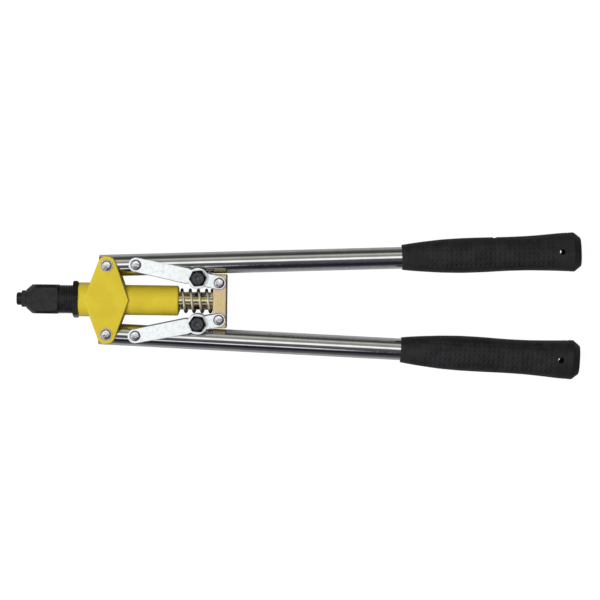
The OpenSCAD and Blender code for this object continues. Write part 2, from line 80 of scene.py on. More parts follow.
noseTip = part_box("nosepiece")[0].x
axisZ = middleOf("nosepiece").z
linkEnd = middleOf("link_rear_pin_right")
boltCentre = middleOf("stop_bolt_right")
pivot = Vector(joints["handle_right_pivot"]["pos_m"])
crankPin = Vector(joints["link_right_pivot"]["pos_m"])


def along(distance):    # distance from the nose tip, turned into X
    return noseTip + distance * mm


def frameAt(start, towards):    # X runs from start towards the other point
    line = towards - start
    return Matrix.Translation(start) @ Matrix.Rotation(math.atan2(line.y, line.x), 4, "Z")


toolPlace = Matrix.Translation((noseTip, 0, axisZ))
handlePlace = frameAt(pivot, crankPin)
linkPlace = frameAt(crankPin, Vector((linkEnd.x, linkEnd.y, crankPin.z)))
uprightTurn = Matrix.Rotation(math.radians(-90), 4, "Y")    # carries X up to Z


def uprightAt(x, y, z=axisZ):
    return Matrix.Translation((x, y, z)) @ uprightTurn


# Modelling helpers

def only(piece):
    bpy.ops.object.select_all(action="DESELECT")
    piece.select_set(True)
    bpy.context.view_layer.objects.active = piece


def openMesh(piece):
    only(piece)
    bpy.ops.object.mode_set(mode="EDIT")
    bpy.ops.mesh.select_mode(type="VERT")
    bpy.ops.mesh.select_all(action="SELECT")


def closeMesh():
    bpy.ops.object.mode_set(mode="OBJECT")


def tidyMesh(piece, flatAngle=None, merge=0.001):    # faces within the flat angle of each other become one
    openMesh(piece)
    bpy.ops.mesh.remove_doubles(threshold=merge * mm)
    bpy.ops.mesh.delete_loose()
    bpy.ops.mesh.select_all(action="SELECT")
    if flatAngle:
        bpy.ops.mesh.dissolve_limited(angle_limit=math.radians(flatAngle))
    bpy.ops.mesh.normals_make_consistent(inside=False)
    closeMesh()


def applied(piece, kind, **settings):
    modifier = piece.modifiers.new(kind.lower(), kind)
    for setting, value in settings.items():
        setattr(modifier, setting, value)
    only(piece)
    bpy.ops.object.modifier_apply(modifier=modifier.name)
    return piece


def combine(piece, tool, operation="DIFFERENCE"):
    applied(piece, "BOOLEAN", object=tool, operation=operation, solver="EXACT")
    bpy.data.objects.remove(tool)
    return piece


def soften(piece, width, segments=2, angle=35):
    return applied(piece, "BEVEL", width=width * mm, segments=segments, limit_method="ANGLE",
                   angle_limit=math.radians(angle), use_clamp_overlap=True)


def smooth(piece, angle=38):
    only(piece)
    bpy.ops.object.shade_smooth_by_angle(angle=math.radians(angle))
    return applied(piece, "WEIGHTED_NORMAL", keep_sharp=True)


def mirrored(piece, name):
    only(piece)
    bpy.ops.object.duplicate()
    other = bpy.context.object
    other.name = name
    other.data.transform(Matrix.Scale(-1, 4, (0, 1, 0)))
    tidyMesh(other)
    return other


def turned(name, outline, sides=96, place=toolPlace):
    # The outline holds distance along and radius in mm, and place carries X to the axis
    bpy.ops.object.select_all(action="DESELECT")
    bpy.ops.mesh.primitive_circle_add(vertices=len(outline), radius=mm)
    piece = bpy.context.object
    piece.name = name
    for corner, (distance, radius) in zip(piece.data.vertices, outline):
        corner.co = (distance * mm, radius * mm, 0)
    openMesh(piece)
    bpy.ops.mesh.spin(steps=sides, angle=2 * math.pi, center=(0, 0, 0), axis=(1, 0, 0))
    closeMesh()
    tidyMesh(piece)
    piece.data.transform(place)
    return piece


def peg(start, end, radius, place, sides=48):
    return turned("peg", [(start, 0), (start, radius), (end, radius), (end, 0)], sides, place)


def block(low, high):
    bpy.ops.object.select_all(action="DESELECT")
    bpy.ops.mesh.primitive_cube_add(size=1, location=(Vector(low) + Vector(high)) / 2)
    tool = bpy.context.object
    tool.scale = Vector(high) - Vector(low)
    bpy.ops.object.transform_apply(location=True, rotation=True, scale=True)
    return tool


def hullOf(name, discs, low, high, place=Matrix.Identity(4), sides=96):
    bpy.ops.object.select_all(action="DESELECT")
    pegs = []
    for x, y, radius in discs:
        bpy.ops.mesh.primitive_cylinder_add(vertices=sides, radius=radius * mm, depth=(high - low) * mm,
                                            location=(x * mm, y * mm, (low + high) / 2 * mm))
        pegs.append(bpy.context.object)
    for one in pegs:
        one.select_set(True)
    bpy.ops.object.join()
    piece = bpy.context.object
    piece.name = name
    bpy.ops.object.transform_apply(location=True, rotation=True, scale=True)
    openMesh(piece)
    bpy.ops.mesh.convex_hull()
    closeMesh()
    tidyMesh(piece, flatAngle=0.5)
    piece.data.transform(place)
    return piece


def copyOf(node):
    source = frame["nodes"][node]
    only(source)
    bpy.ops.object.duplicate()
    piece = bpy.context.object
    piece.name = node + "_finished"
    piece.parent = None
    for word in list(piece.keys()):
        del piece[word]
    bpy.ops.mesh.customdata_custom_splitnormals_clear()
    tidyMesh(piece, flatAngle=0.5)
    return piece


def markShadedEdges(piece, isEdge):    # marks the faces that the rule picks, for painted edge shade
    tones = piece.data.attributes.new("edgeTone", "FLOAT", "FACE")
    for face in piece.data.polygons:
        tones.data[face.index].value = 1.0 if isEdge(face) else 0.0


def settle(piece, body, finish, slotName, *nodes):
    piece.data.materials.clear()
    piece.data.materials.append(finish)
    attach(piece, body)
    if nodes:
        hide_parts(*nodes)
    return piece


# Shader helpers

class Signal:
    def __init__(self, board, socket):
        self.board = board
        self.socket = socket

    def maths(self, operation, *terms):
        return self.board.node("ShaderNodeMath", {"operation": operation}, dict(enumerate(terms)))

    def __add__(self, other):
        return self.maths("ADD", self, other)

    def __sub__(self, other):
        return self.maths("SUBTRACT", self, other)

    def __rsub__(self, other):
        return self.maths("SUBTRACT", other, self)

    def __mul__(self, other):
        return self.maths("MULTIPLY", self, other)

    def __truediv__(self, other):
        return self.maths("DIVIDE", self, other)

    def __pow__(self, other):
        return self.maths("POWER", self, other)

    __radd__ = __add__
    __rmul__ = __mul__


class Board:
    def __init__(self, tree):
        self.tree = tree

    def node(self, kind, settings=(), inputs=(), output=0):
        made = self.tree.nodes.new(kind)
        for setting, value in dict(settings).items():
            if setting == "stops":
                self.setStops(made.color_ramp, value)
            else:
                setattr(made, setting, value)
        for socket, value in dict(inputs).items():
            self.feed(made.inputs[socket], value)
        return Signal(self, made.outputs[output])

    def setStops(self, ramp, stops):
        while len(ramp.elements) < len(stops):
            ramp.elements.new(0.5)
        for element, (place, colour) in zip(ramp.elements, stops):
            element.position = place
            element.color = (*colour, 1)

    def feed(self, target, value):
        if isinstance(value, Signal):
            self.tree.links.new(value.socket, target)
        elif isinstance(value, tuple) and len(value) == 3 and target.type == "RGBA":
            target.default_value = (*value, 1)
        else:
            target.default_value = value

    def noise(self, size, detail=2.0, roughness=0.5, stretch=(1, 1, 1)):
        # The size of its spots is in mm
        vector = self.node("ShaderNodeMapping", {}, {"Vector": self.place, "Scale": stretch})
        return self.node("ShaderNodeTexNoise", {}, {"Vector": vector, "Scale": 1 / (size * mm),
                                                    "Detail": detail, "Roughness": roughness})

    def between(self, signal, low, high, fromLow=0.35, fromHigh=0.65):
        return self.node("ShaderNodeMapRange", {"interpolation_type": "SMOOTHSTEP"},
                         {"Value": signal, "From Min": fromLow, "From Max": fromHigh,
                          "To Min": low, "To Max": high})

    def mix(self, share, first, second):
        return self.node("ShaderNodeMix", {"data_type": "RGBA"}, {0: share, 6: first, 7: second}, 2)


class Finish(Board):
    def __init__(self, name, **constants):
        self.material = bpy.data.materials.new(name)
        self.material.use_nodes = True
        super().__init__(self.material.node_tree)
        self.shader = self.tree.nodes["Principled BSDF"]
        self.place = self.node("ShaderNodeTexCoord", {}, {}, "Object")
        for socket, value in constants.items():
            self.set(socket.replace("_", " "), value)

    def set(self, socket, value):
        self.feed(self.shader.inputs[socket], value)

    def painted(self, name):    # a tone painted on the piece's own faces
        return self.node("ShaderNodeAttribute", {"attribute_name": name}, {}, "Fac")

    def bump(self, height, distance, strength, under=None):
        inputs = {"Strength": strength, "Distance": distance * mm, "Height": height}
        if under:
            inputs["Normal"] = under
        return self.node("ShaderNodeBump", {}, inputs)

    def cover(self, colour, look, height=None, under=None):    # colour, patches of gloss, and a relief
        self.set("Base Color", colour)
        self.set("Roughness", self.between(self.noise(*look["gloss"]), *look["roughness"]))
        self.set("Normal", self.bump(height or self.noise(*look["grain"]), *look["relief"], under))
        return self.material


# Finishes
# A noise is given as the size of its spots in mm and its detail, then its roughness and its stretch, if any.
# Edges are the noise values between which one tone turns into another.
# A relief is its height in mm, then its strength.

def mottled(name, look, **constants):    # a metal with two tones in soft patches
    f = Finish(name, **constants)
    patches = f.between(f.noise(*look["patches"]), 0, 1, *look.get("patchEdges", ()))
    return f.cover(f.mix(patches, *look["tones"]), look)


def makeYellowPaint():
    look = {
        "paint": (0.60, 0.469, 0.029), "deeper": (0.545, 0.42, 0.022), "rim": (0.27, 0.215, 0.02),
        "drift": (14, 3), "driftEdges": (0.3, 0.7), "gloss": (3.5, 4), "roughness": (0.4, 0.5),
        "peel": (0.9, 2), "dust": (0.25, 1), "dustShare": 0.35, "relief": (0.03, 0.5)
    }
    f = Finish("yellowPaint", Specular_IOR_Level=0.3, Coat_Weight=0.2, Coat_Roughness=0.16)
    drift = f.between(f.noise(*look["drift"]), 0, 1, *look["driftEdges"])
    face = f.mix(drift, look["paint"], look["deeper"])
    peel = f.noise(*look["peel"]) + look["dustShare"] * f.noise(*look["dust"])
    # the marked rim faces take a darker paint as painted shade
    return f.cover(f.mix(f.painted("edgeTone"), face, look["rim"]), look, peel)


def makeOxide(name, tones, roughness):
    look = {
        "tones": tones, "patches": (3.5, 4, 0.55), "gloss": (1.6, 4), "roughness": roughness,
        "grain": (0.35, 3, 0.6), "relief": (0.01, 0.35)
    }
    return mottled(name, look, Metallic=0.8, Specular_IOR_Level=0.3)


def makeBoltOxide():    # painted light and shade: grey on top of the bolt's head, black round its chamfer and flats, and a painted glint in the dimple
    look = {
        "grey": (0.088, 0.09, 0.098), "black": (0.016, 0.016, 0.018), "dimpleGlint": (0.24, 0.235, 0.25),
        "greyTo": 4.3, "blackFrom": 4.8, "dotTo": 0.2, "dotEnd": 0.9, "dotShare": 0.8,
        "wander": (0.9, 3), "wanderReach": 0.5, "patches": (1.2, 4, 0.6), "patchTones": (0.75, 1.2),
        "gloss": (1.1, 4), "roughness": (0.3, 0.46), "grain": (0.35, 3, 0.6), "relief": (0.01, 0.6)
    }
    f = Finish("boltOxide", Metallic=0.8, Specular_IOR_Level=0.3)
    x = f.node("ShaderNodeSeparateXYZ", {}, {"Vector": f.place}, "X") - boltCentre.x
    side = f.node("ShaderNodeSeparateXYZ", {}, {"Vector": f.place}, "Y")
    y = f.node("ShaderNodeMath", {"operation": "ABSOLUTE"}, {0: side}) - boltCentre.y
    reach = (x * x + y * y) ** 0.5 + look["wanderReach"] * mm * (f.noise(*look["wander"]) - 0.5)
    # painted shade: black round the chamfer and flats
    black = f.between(reach, 0, 1, look["greyTo"] * mm, look["blackFrom"] * mm)
    dimpleGlint = f.between(reach, look["dotShare"], 0, look["dotTo"] * mm, look["dotEnd"] * mm)
    top = f.mix(dimpleGlint, f.mix(black, look["grey"], look["black"]), look["dimpleGlint"])
    patches = f.between(f.noise(*look["patches"]), *look["patchTones"])
    tone = f.node("ShaderNodeCombineXYZ", {}, {"X": patches, "Y": patches, "Z": patches})
    blend = {"data_type": "RGBA", "blend_type": "MULTIPLY"}
    return f.cover(f.node("ShaderNodeMix", blend, {0: 1.0, 6: top, 7: tone}, 2), look)


def makeDarkSteel():
    look = {
        "tones": ((0.085, 0.087, 0.092), (0.15, 0.15, 0.155)), "patches": (1.5, 5, 0.6),
        "gloss": (0.8, 3), "roughness": (0.26, 0.42), "grain": (0.25, 3), "relief": (0.008, 0.5)
    }
    return mottled("darkSteel", look, Metallic=0.85)


def makePinSteel():    # bright turned ends of the pins, struck by the hammer
    look = {
        "tones": ((0.86, 0.86, 0.89), (0.58, 0.57, 0.60)), "patches": (1.8, 3), "patchEdges": (0.48, 0.66),
        "gloss": (0.9, 3), "roughness": (0.12, 0.24), "grain": (1.5, 2), "relief": (0.16, 0.8)
    }
    return mottled("pinSteel", look, Metallic=1.0)


def makeWasherSteel():
    look = {
        "tones": ((0.82, 0.76, 0.64), (0.62, 0.54, 0.43)), "patches": (1.2, 4),
        "gloss": (0.8, 3), "roughness": (0.24, 0.38), "grain": (0.3, 3), "relief": (0.01, 0.5)
    }
    return mottled("washerSteel", look, Metallic=0.85)


def makeBrightZinc():
    look = {
        "zinc": (0.885, 0.92, 0.922), "cloud": (0.72, 0.76, 0.79), "edge": (0.21, 0.22, 0.24),
        "clouds": (2.6, 5, 0.62), "cloudEdges": (0.44, 0.7), "gloss": (1.2, 4), "roughness": (0.3, 0.46),
        "grain": (0.5, 4, 0.6), "relief": (0.015, 0.6)
    }
    f = Finish("brightZinc", Metallic=0.22)
    clouds = f.between(f.noise(*look["clouds"]), 0, 1, *look["cloudEdges"])
    face = f.mix(clouds, look["zinc"], look["cloud"])
    # the marked edges take a dark zinc as painted shade
    return f.cover(f.mix(f.painted("edgeTone"), face, look["edge"]), look)


def makeChromeTube():
    look = {
        "chrome": (0.80, 0.80, 0.81), "dull": (0.72, 0.72, 0.735), "haze": (9, 4),
        "gloss": (4, 4), "roughness": (0.03, 0.07), "relief": (0.012, 0.5),
        # Faint lines left along the tube, and longer waves below them
        "lines": (1.1, 2, 0.5, (0.02, 1, 1)), "waves": (5, 2, 0.5, (0.1, 1, 1)), "waveShare": 0.6
    }
    f = Finish("chromeTube", Metallic=1.0)
    haze = f.between(f.noise(*look["haze"]), 0, 1)
    drawn = f.noise(*look["lines"]) + look["waveShare"] * f.noise(*look["waves"])
    return f.cover(f.mix(haze, look["chrome"], look["dull"]), look, drawn)


def goldClouds(f, look):    # gold and pink clouds, with a greener tarnish over them
    bloom = f.between(f.noise(*look["bloom"]), 0, 1, *look["bloomEdges"])
    tarnish = f.between(f.noise(*look["tarnish"]), 0, look["tarnishShare"], *look["tarnishEdges"])
    return f.mix(tarnish, f.mix(bloom, look["gold"], look["pink"]), look["green"])


def makeGoldZinc():
    look = {
        "gold": (0.84, 0.69, 0.31), "pink": (0.86, 0.65, 0.43), "green": (0.78, 0.73, 0.36),
        "edge": (0.06, 0.045, 0.025), "bloom": (5, 3), "bloomEdges": (0.42, 0.58),
        "tarnish": (3, 4), "tarnishEdges": (0.48, 0.66), "tarnishShare": 0.6,
        "gloss": (1, 3), "roughness": (0.24, 0.4), "grain": (0.4, 3), "relief": (0.01, 0.5)
    }
    f = Finish("goldZinc", Metallic=0.7)
    # the marked rear faces take a dark tone as painted shade
    return f.cover(f.mix(f.painted("edgeTone"), goldClouds(f, look), look["edge"]), look)


def makeGoldRod():
    look = {
        "gold": (0.86, 0.76, 0.38), "pink": (0.84, 0.66, 0.47), "green": (0.60, 0.58, 0.22),
        "bloom": (4, 3), "bloomEdges": (0.44, 0.58),
        "tarnish": (3.2, 3), "tarnishEdges": (0.5, 0.62), "tarnishShare": 0.9,
        "gloss": (1, 3), "roughness": (0.12, 0.22),
        "grain": (0.4, 3, 0.5, (1, 0.2, 0.2)), "relief": (0.01, 0.5)
    }
    f = Finish("goldRod", Metallic=1.0)
    return f.cover(goldClouds(f, look), look)


def makeSpringSteel():    # bright in the middle, and darker towards the sides of the coil as painted shade
    look = {
        "steel": (0.95, 0.92, 0.84), "dull": (0.80, 0.76, 0.68), "dark": (0.022, 0.022, 0.022),
        "wear": (1.4, 4), "brightTo": 5.2, "darkFrom": 8,
        "gloss": (0.7, 3), "roughness": (0.28, 0.4), "grain": (0.3, 2), "relief": (0.01, 0.5)
    }
    f = Finish("springSteel", Metallic=0.72)
    sideways = f.node("ShaderNodeSeparateXYZ", {}, {"Vector": f.place}, "Y")
    aside = f.node("ShaderNodeMath", {"operation": "ABSOLUTE"}, {0: sideways})
    worn = f.mix(f.between(f.noise(*look["wear"]), 0, 1), look["steel"], look["dull"])
    # painted shade: darker away from the middle, towards the sides of the coil
    sideShade = f.between(aside, 0, 1, look["brightTo"] * mm, look["darkFrom"] * mm)
    return f.cover(f.mix(sideShade, worn, look["dark"]), look)


def makeBlackGrip():
    look = {
        "rubber": (0.0095, 0.0095, 0.0105), "bloom": (0.0165, 0.0165, 0.018), "blooms": (8, 5, 0.6),
        "gloss": (2, 4), "roughness": (0.5, 0.66), "seam": 0.28, "relief": (0.12, 0.8),
        # The seam's relief lies over the rubber's leather grain
        "leather": 0.8, "pores": (0.35, 2), "poreShare": 0.6, "leatherRelief": (0.03, 0.55)
    }
    f = Finish("blackGrip", Specular_IOR_Level=0.4)
    bloom = f.between(f.noise(*look["blooms"]), 0, 1)
    height = f.node("ShaderNodeSeparateXYZ", {}, {"Vector": f.place}, "Z")
    offSeam = f.node("ShaderNodeMath", {"operation": "ABSOLUTE"}, {0: height - axisZ})
    seam = f.between(offSeam, 1, 0, 0, look["seam"] * mm)
    leather = f.node("ShaderNodeTexVoronoi", {}, {"Vector": f.place, "Scale": 1 / (look["leather"] * mm)})
    grain = f.bump(leather + look["poreShare"] * f.noise(*look["pores"]), *look["leatherRelief"])
    return f.cover(f.mix(bloom, look["rubber"], look["bloom"]), look, seam, grain)


yellowPaint = makeYellowPaint()
blackOxide = makeOxide("blackOxide", ((0.036, 0.036, 0.0375), (0.047, 0.047, 0.048)), (0.26, 0.4))
greyOxide = makeOxide("greyOxide", ((0.062, 0.062, 0.067), (0.098, 0.097, 0.102)), (0.3, 0.46))
boltOxide = makeBoltOxide()
darkSteel = makeDarkSteel()
pinSteel = makePinSteel()
washerSteel = makeWasherSteel()
brightZinc = makeBrightZinc()
chromeTube = makeChromeTube()
goldZinc = makeGoldZinc()
goldRod = makeGoldRod()
springSteel = makeSpringSteel()
blackGrip = makeBlackGrip()
print("finishes made")


# Body casting

casting = {
    "neckAt": 46.9, "neckRadius": 12.9, "neckEdge": 0.8,
    "barrelRadius": 11.4, "barrelEndAt": 123.1, "barrelEdge": 1.2, "barrelEdgeMiddle": (0.3, 0.4),
    "yokeMiddleAt": 68.9, "yokeHeight": 26.2, "yokeBevel": 1.1, "edge": 0.3,
    "points": [(51.6, 1), (85.7, -1)], "pointRadius": 2.5, "endRadius": 7.1, "endReach": 26.4,
    "webHalfWidth": 13.4, "slotHeight": 17.3, "pinBore": 2.8,
    "sleeveBore": 10.95, "sleeveEndAt": 60, "bore": 8.1, "bushBore": 8.65, "bushAt": 104.9,
    "recessAt": 116.9, "recessRadius": 9.75,
    # The yoke's upper edges get painted shade from this height, where they lean and face the rear
    "rimAbove": 11.6, "rimLean": 0.88, "rimTurn": -0.1
}


def makeCasting():
    c = casting
    half = c["yokeHeight"] / 2
    discs = [(at + side * c["pointRadius"], 0, c["pointRadius"]) for at, side in c["points"]]
    discs += [(c["yokeMiddleAt"], side * c["endReach"], c["endRadius"]) for side in (-1, 1)]
    piece = hullOf("body_casting_painted", discs, -half, half, toolPlace)
    soften(piece, c["yokeBevel"], segments=3, angle=60)
    backShare, downShare = c["barrelEdgeMiddle"]
    outline = [
        (c["neckAt"], 0), (c["neckAt"], c["neckRadius"] - c["neckEdge"]),
        (c["neckAt"] + c["neckEdge"], c["neckRadius"]), (c["yokeMiddleAt"], c["neckRadius"]),
        (c["yokeMiddleAt"], c["barrelRadius"]), (c["barrelEndAt"] - c["barrelEdge"], c["barrelRadius"]),
        (c["barrelEndAt"] - backShare * c["barrelEdge"], c["barrelRadius"] - downShare * c["barrelEdge"]),
        (c["barrelEndAt"], c["barrelRadius"] - c["barrelEdge"]), (c["barrelEndAt"], 0)
    ]
    combine(piece, turned("barrel", outline, sides=128), "UNION")
    hollow = [
        (c["neckAt"] - past, 0), (c["neckAt"] - past, c["sleeveBore"]), (c["sleeveEndAt"], c["sleeveBore"]),
        (c["sleeveEndAt"], c["bore"]), (c["bushAt"], c["bore"]), (c["bushAt"], c["bushBore"]),
        (c["recessAt"], c["bushBore"]), (c["recessAt"], c["recessRadius"]),
        (c["barrelEndAt"] + past, c["recessRadius"]), (c["barrelEndAt"] + past, 0)
    ]
    combine(piece, turned("hollow", hollow, sides=128))
    slotHalf = c["slotHeight"] / 2 * mm
    for side in (-1, 1):
        near, far = sorted((side * c["webHalfWidth"] * mm, side * 2 * c["endReach"] * mm))
        combine(piece, block((along(c["points"][0][0] - past), near, axisZ - slotHalf),
                             (along(c["points"][1][0] + past), far, axisZ + slotHalf)))
        combine(piece, peg(-half - past, half + past, c["pinBore"], uprightAt(pivot.x, side * pivot.y)))
    tidyMesh(piece, flatAngle=0.3, merge=0.02)
    soften(piece, c["edge"], angle=40)
    smooth(piece)
    # painted shade on the yoke's upper edges that face the rear
    rim = axisZ + c["rimAbove"] * mm
    markShadedEdges(piece, lambda face: (face.center.z > rim and face.normal.z < c["rimLean"]
                                   and face.normal.x > c["rimTurn"]))
    return settle(piece, "body", yellowPaint, "yellow_paint", "body_casting")


makeCasting()
print("body made")


# Nose: sleeve with its thread, lock nut and nosepiece

sleeve = {
    "coneAt": 7.4, "coneRadius": 7.1, "coneSlope": 0.8837, "barRadius": 14, "flatHalf": 10.9,
    "threadAt": 31.8, "headEdge": 1, "endAt": 60, "rootRadius": 10.35, "crestRadius": 10.9,
    "tipBore": 4.55, "tipBoreEnd": 15.9, "bore": 8, "edge": 0.3,
    "pitch": 1.25, "turns": 14, "stepsPerTurn": 72,
    # The thread's section: the share of its pitch, then the share of its depth
    "ridge": [(0.06, -0.1), (0.42, 1), (0.62, 1), (0.96, -0.1)]
}


def makeSleeve():
    s = sleeve
    coneEnd = s["coneAt"] + (s["barRadius"] - s["coneRadius"]) / s["coneSlope"]
    outline = [
        (s["coneAt"], s["tipBore"]), (s["coneAt"], s["coneRadius"]), (coneEnd, s["barRadius"]),
        (s["threadAt"] - s["headEdge"], s["barRadius"]), (s["threadAt"], s["barRadius"] - s["headEdge"]),
        (s["threadAt"], s["rootRadius"]), (s["endAt"], s["rootRadius"]), (s["endAt"], s["bore"]),
        (s["tipBoreEnd"], s["bore"]), (s["tipBoreEnd"], s["tipBore"])
    ]
    piece = turned("nose_sleeve_threaded", outline, sides=160)
    flat = s["flatHalf"] * mm
    combine(piece, block((along(s["coneAt"] - past), -flat, axisZ - flat),
                         (along(s["endAt"] + past), flat, axisZ + flat)), "INTERSECT")
    tidyMesh(piece, flatAngle=0.3, merge=0.02)
    soften(piece, s["edge"], segments=3, angle=30)
    smooth(piece)
    depth = s["crestRadius"] - s["rootRadius"]
    bpy.ops.object.select_all(action="DESELECT")
    bpy.ops.mesh.primitive_circle_add(vertices=len(s["ridge"]), radius=mm)
    ridge = bpy.context.object
    for corner, (share, rise) in zip(ridge.data.vertices, s["ridge"]):
        corner.co = (share * s["pitch"] * mm, (s["rootRadius"] + rise * depth) * mm, 0)
    applied(ridge, "SCREW", axis="X", screw_offset=s["pitch"] * mm, iterations=s["turns"],
            steps=s["stepsPerTurn"], render_steps=s["stepsPerTurn"], use_merge_vertices=False)
    openMesh(ridge)
    bpy.ops.mesh.fill_holes(sides=len(s["ridge"]))
    bpy.ops.mesh.select_all(action="SELECT")
    bpy.ops.mesh.normals_make_consistent(inside=False)
    closeMesh()
    ridge.data.transform(Matrix.Translation((s["threadAt"] * mm, 0, 0)))
    ridge.data.transform(toolPlace)
    smooth(ridge, angle=30)
    ridge.name = "nose_sleeve_thread"
    settle(ridge, "body", greyOxide, "black_oxide_steel")
    return settle(piece, "body", blackOxide, "black_oxide_steel", "nose_sleeve")


makeSleeve()


def dress(node, body, finish, slotName, edge):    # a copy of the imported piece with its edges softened
    piece = smooth(soften(copyOf(node), edge))
    return settle(piece, body, finish, slotName, node)


dress("sleeve_lock_nut", "body", blackOxide, "black_oxide_steel", edge=0.2)
dress("nosepiece", "body", blackOxide, "black_oxide_steel", edge=0.12)
print("nose made")


# Pins, washers and clips on the yoke

pins = {
    "shank": 2.75, "head": 3.5, "dome": 0.5, "flatness": 0.68, "yokeTop": 14.95, "linkTop": 12.4,
    "domeSteps": 16, "edge": 0.16
}


def makePin(name, x, y, top):    # each end is flat in the middle and turns down steeply at its rim
    p = pins
    turns = [math.pi / 2 * i / p["domeSteps"] for i in range(p["domeSteps"] + 1)]
    cap = []
    for turn in turns:
        drop = p["dome"] * (1 - math.cos(turn) ** p["flatness"])
        cap.append((top - drop, p["head"] * math.sin(turn) ** p["flatness"]))
    cap.append((top - p["dome"], p["shank"]))
    outline = [(-distance, reach) for distance, reach in cap] + cap[::-1]
    return turned(name, outline, sides=64, place=uprightAt(x, y))


def makeYokePins():
    piece, other = [makePin("yoke_pins_domed", pivot.x, side * pivot.y, pins["yokeTop"]) for side in (1, -1)]
    only(piece)
    other.select_set(True)
    bpy.ops.object.join()
    smooth(piece, angle=50)
    return settle(piece, "body", pinSteel, "bright_zinc", "yoke_pins")


makeYokePins()
dress("yoke_pin_washers", "body", washerSteel, "bright_zinc", pins["edge"])
dress("yoke_pin_clips", "body", greyOxide, "dark_steel", pins["edge"])
dress("rod_guide_bush", "body", darkSteel, "dark_steel", pins["edge"])
dress("spring_seat_washer", "body", darkSteel, "dark_steel", pins["edge"])
print("yoke pins made")


# Pull rod, crossbar, springs and the jaws inside the sleeve

pullRod = {
    "frontAt": 55, "frontRadius": 5.95, "caseEndAt": 65, "radius": 6.7,
    "crossbarAt": 149.1, "stepRadius": 5.5, "endAt": 159.7, "bore": 3, "edge": 0.3
}


def makePullRod():
    r = pullRod
    outline = [
        (r["frontAt"], r["bore"]), (r["frontAt"], r["frontRadius"]), (r["caseEndAt"], r["frontRadius"]),
        (r["caseEndAt"], r["radius"]), (r["crossbarAt"], r["radius"]), (r["crossbarAt"], r["stepRadius"]),
        (r["endAt"], r["stepRadius"]), (r["endAt"], r["bore"])
    ]
    piece = smooth(soften(turned("pull_rod_plated", outline), r["edge"]))
    return settle(piece, "pull_bar", goldRod, "gold_zinc", "pull_rod")


makePullRod()

crossbar = {
    "bevel": 1.1, "rodRoom": 0.05, "toneTurn": 0.3,    # faces turned to the rear by more get painted shade
    # Each link pin's slot: its radius, how far it runs along and across the tool, and its reach up and down
    "slotRadius": 2.95, "slotAlong": 2.384, "slotAcross": 0.744, "slotReach": 12
}


def makeCrossbar():
    c = crossbar
    piece = block(*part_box("crossbar"))
    piece.name = "crossbar_plated"
    soften(piece, c["bevel"], segments=3)
    r = pullRod
    bore = r["stepRadius"] + c["rodRoom"]
    combine(piece, peg(r["crossbarAt"] - past, r["endAt"] + past, bore, toolPlace))
    for side in (-1, 1):
        ends = [(0, 0, c["slotRadius"]), (c["slotAlong"], side * c["slotAcross"], c["slotRadius"])]
        place = Matrix.Translation((linkEnd.x, side * linkEnd.y, axisZ))
        combine(piece, hullOf("slot", ends, -c["slotReach"], c["slotReach"], place, sides=48))
    tidyMesh(piece, flatAngle=0.3, merge=0.02)
    smooth(piece)
    markShadedEdges(piece, lambda face: face.normal.x > c["toneTurn"])
    return settle(piece, "pull_bar", goldZinc, "gold_zinc", "crossbar")


makeCrossbar()

# Compressed says how much shorter the spring is at its joint's upper limit
returnSpring = {
    "startAt": 117.7, "endAt": 149.1, "outside": 19, "wire": 1.9, "pitch": 6.2, "firstAngle": -35,
    "flatTurn": 200, "stepsPerTurn": 48, "compressed": 14.24
}
jawSpring = {
    "startAt": 45.85, "endAt": 55, "outside": 11, "wire": 1.1, "pitch": 2.4, "firstAngle": 0,
    "flatTurn": 200, "stepsPerTurn": 32, "compressed": 2.5
}


def coil(name, c):
    rise = c["endAt"] - c["startAt"] - c["wire"]
    sweep = 360 * rise / c["pitch"]
    total = sweep + 2 * c["flatTurn"]
    steps = math.ceil(total / 360 * c["stepsPerTurn"])
    reach = (c["outside"] - c["wire"]) / 2
    line = bpy.data.curves.new(name, "CURVE")
    line.dimensions = "3D"
    line.bevel_depth = c["wire"] / 2 * mm
    line.bevel_resolution = 6
    line.use_fill_caps = True
    path = line.splines.new("POLY")
    path.points.add(steps)
    for i, point in enumerate(path.points):
        turn = total * i / steps - c["flatTurn"]
        distance = c["startAt"] + c["wire"] / 2 + rise * min(1, max(0, turn / sweep))
        angle = math.radians(c["firstAngle"] + turn)
        offset = Vector((distance, reach * math.cos(angle), reach * math.sin(angle))) * mm
        point.co = (*(toolPlace @ offset), 1)
    piece = bpy.data.objects.new(name, line)
    bpy.context.collection.objects.link(piece)
    only(piece)
    bpy.ops.object.convert(target="MESH")
    piece = bpy.context.object
    tidyMesh(piece)
    return smooth(piece, angle=50)


def makeSpring(node, c, body, keptEnd):    # the coil as it stands at rest, settled on its body
    piece = settle(coil(node + "_coil", c), body, springSteel, "spring_steel", node)
    along(c[keptEnd])
    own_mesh(piece)


makeSpring("return_spring", returnSpring, "pull_bar", "endAt")
makeSpring("jaw_spring", jawSpring, "jaw_set", "startAt")
dress("jaw_pusher", "jaw_set", darkSteel, "dark_steel", edge=0.1)

jawParts = {
    "caseAt": 30.9, "caseEndAt": 65, "caseRadius": 7.5, "chamfer": 1.2, "caseBore": 6, "mouth": 3.2,
    "coneEndAt": 43.4, "caseEdge": 0.15,
    # The jaws themselves, with the gaps between them
    "frontAt": 31.3, "endAt": 43.3, "frontRadius": 3.139, "endRadius": 5.827, "bore": 1.5, "gap": 0.9,
    "edge": 0.08
}


def makeJawCase():
    j = jawParts
    outline = [
        (j["caseAt"], j["mouth"]), (j["caseAt"], j["caseRadius"] - j["chamfer"]),
        (j["caseAt"] + j["chamfer"], j["caseRadius"]), (j["caseEndAt"], j["caseRadius"]),
        (j["caseEndAt"], j["caseBore"]), (j["coneEndAt"], j["caseBore"])
    ]
    piece = turned("jaw_case_turned", outline)
    smooth(soften(piece, j["caseEdge"]))
    return settle(piece, "pull_bar", darkSteel, "dark_steel", "jaw_case")


